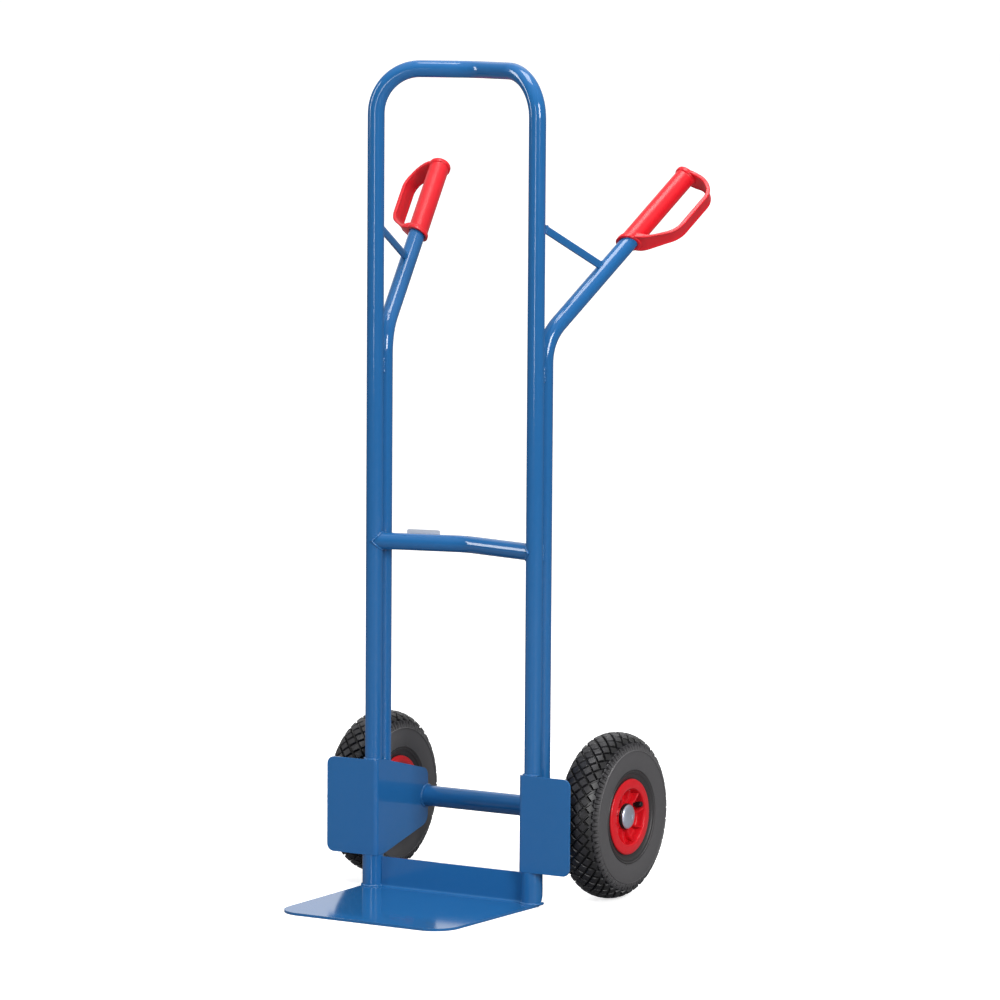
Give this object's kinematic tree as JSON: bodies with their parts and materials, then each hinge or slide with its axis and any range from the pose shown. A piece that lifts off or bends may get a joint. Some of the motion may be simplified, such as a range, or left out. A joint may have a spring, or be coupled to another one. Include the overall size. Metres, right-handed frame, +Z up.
{
  "type": "hand truck",
  "caption": "Upright tube-framed hand truck with folded toe plate, splayed guarded handles and air-filled wheels on a fixed axle.",
  "frame": {"origin": "on the floor, at the middle of the whole truck's width and length", "axes": "+Z up, +X to the right seen from the load side, -Y towards the toe plate (load side), +Y towards the handles"},
  "size_m": [0.5678, 0.6028, 1.3],
  "materials": {
    "frame_paint": "glossy blue powder coat over steel",
    "grip_red": "moulded red plastic, satin gloss",
    "rim_red": "moulded red plastic, satin gloss",
    "tyre_rubber": "block-tread tyre rubber",
    "tube_rubber": "smooth butyl rubber",
    "black_plastic": "moulded black plastic",
    "zinc_steel": "bright zinc plate",
    "axle_steel": "bright drawn steel bar",
    "plate_metal": "pale satin aluminium, left blank"
  },
  "bodies": {
    "frame": {"main_hoop": "frame_paint", "cross_bar": "frame_paint", "toe_plate": "frame_paint", "axle_tube": "frame_paint", "axle": "axle_steel", "type_plate": "plate_metal", "plate_rivets": "plate_metal", "left_handle_tube": "frame_paint", "left_strut": "frame_paint", "left_tube_plug": "black_plastic", "left_grip": "grip_red", "left_foot_sleeve": "frame_paint", "left_bracket": "frame_paint", "left_spacer": "zinc_steel", "left_dust_ring": "black_plastic", "left_hub_cap": "zinc_steel", "right_handle_tube": "frame_paint", "right_strut": "frame_paint", "right_tube_plug": "black_plastic", "right_grip": "grip_red", "right_foot_sleeve": "frame_paint", "right_bracket": "frame_paint", "right_spacer": "zinc_steel", "right_dust_ring": "black_plastic", "right_hub_cap": "zinc_steel"},
    "left_wheel": {"left_tyre": "tyre_rubber", "left_inner_tube": "tube_rubber", "left_valve_cap": "black_plastic", "left_rim_outer": "rim_red", "left_rim_inner": "rim_red", "left_rim_bolts": "zinc_steel", "left_bush_outer": "black_plastic", "left_bush_inner": "black_plastic"},
    "right_wheel": {"right_tyre": "tyre_rubber", "right_inner_tube": "tube_rubber", "right_valve_cap": "black_plastic", "right_rim_outer": "rim_red", "right_rim_inner": "rim_red", "right_rim_bolts": "zinc_steel", "right_bush_outer": "black_plastic", "right_bush_inner": "black_plastic"}
  },
  "joints": [
    {"name": "left_wheel_spin", "type": "hinge", "parent": "frame", "child": "left_wheel", "pos_m": [-0.213, 0.10161, 0.13], "axis": [1, 0, 0], "continuous": true},
    {"name": "right_wheel_spin", "type": "hinge", "parent": "frame", "child": "right_wheel", "pos_m": [0.213, 0.10161, 0.13], "axis": [1, 0, 0], "continuous": true}
  ]
}
